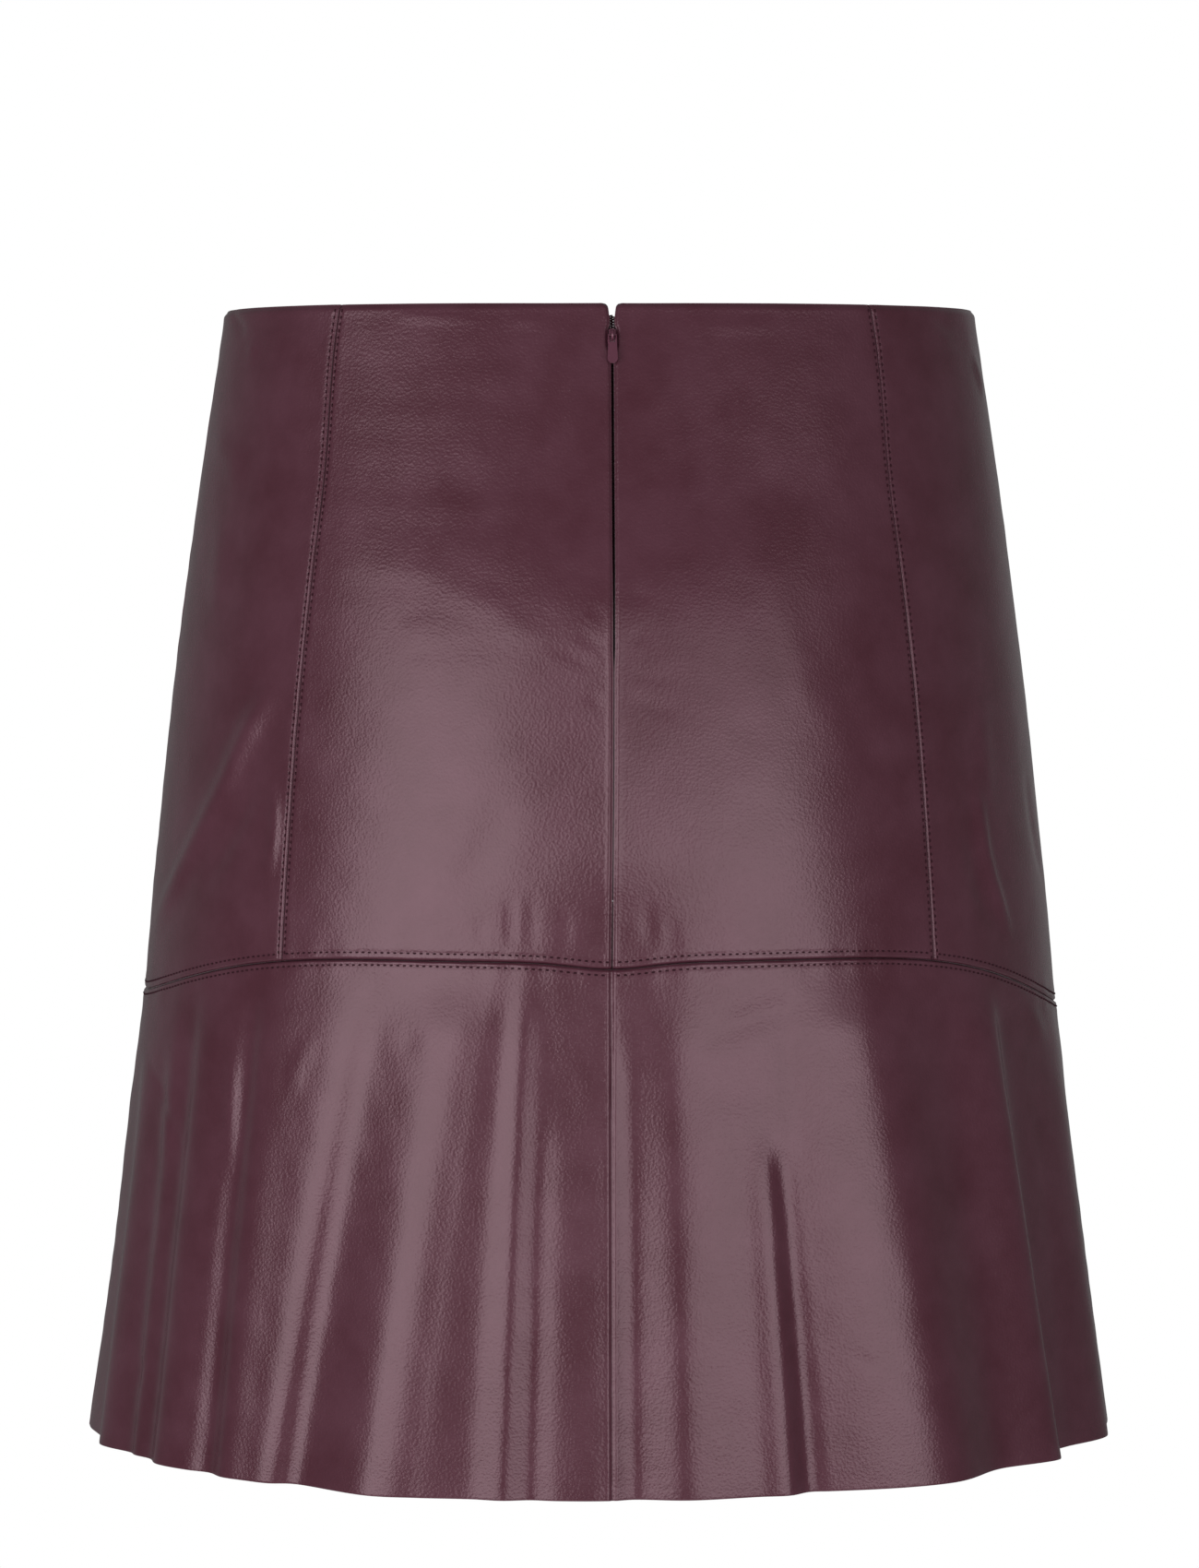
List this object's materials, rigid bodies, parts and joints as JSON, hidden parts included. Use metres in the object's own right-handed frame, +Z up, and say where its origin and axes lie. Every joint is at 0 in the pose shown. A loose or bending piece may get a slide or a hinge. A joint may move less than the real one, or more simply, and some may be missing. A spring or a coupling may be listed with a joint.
{
  "type": "leather skirt",
  "caption": "Short fitted leather skirt with princess-seamed back panels, a centre back zip and a flared flounce, filled out as worn.",
  "frame": {"origin": "middle of the waist opening, level with the top edge at the back", "axes": "+Z up out of the waist; -Y towards the wearer's back, where the zip is; +X towards the wearer's right"},
  "size_m": [0.3936, 0.295, 0.4361],
  "materials": {
    "leather": "smooth semi-gloss burgundy nappa",
    "tape": "knitted burgundy polyester",
    "zip_metal": "gloss enamel, tone on tone"
  },
  "bodies": {
    "skirt": {"back_left": "leather", "back_right": "leather", "side_left": "leather", "side_right": "leather", "front": "leather", "flounce_back_left": "leather", "flounce_back_right": "leather", "flounce_front": "leather", "zip_tape_left": "tape", "zip_tape_right": "tape", "zip_slider": "zip_metal"},
    "pull": {"zip_pull": "zip_metal"}
  },
  "joints": [
    {"name": "pull_swing", "type": "hinge", "parent": "skirt", "child": "pull", "pos_m": [0.00163, -0.09914, -0.01195], "axis": [-1, -0.0039, 0], "range_deg": [0, 165]}
  ]
}
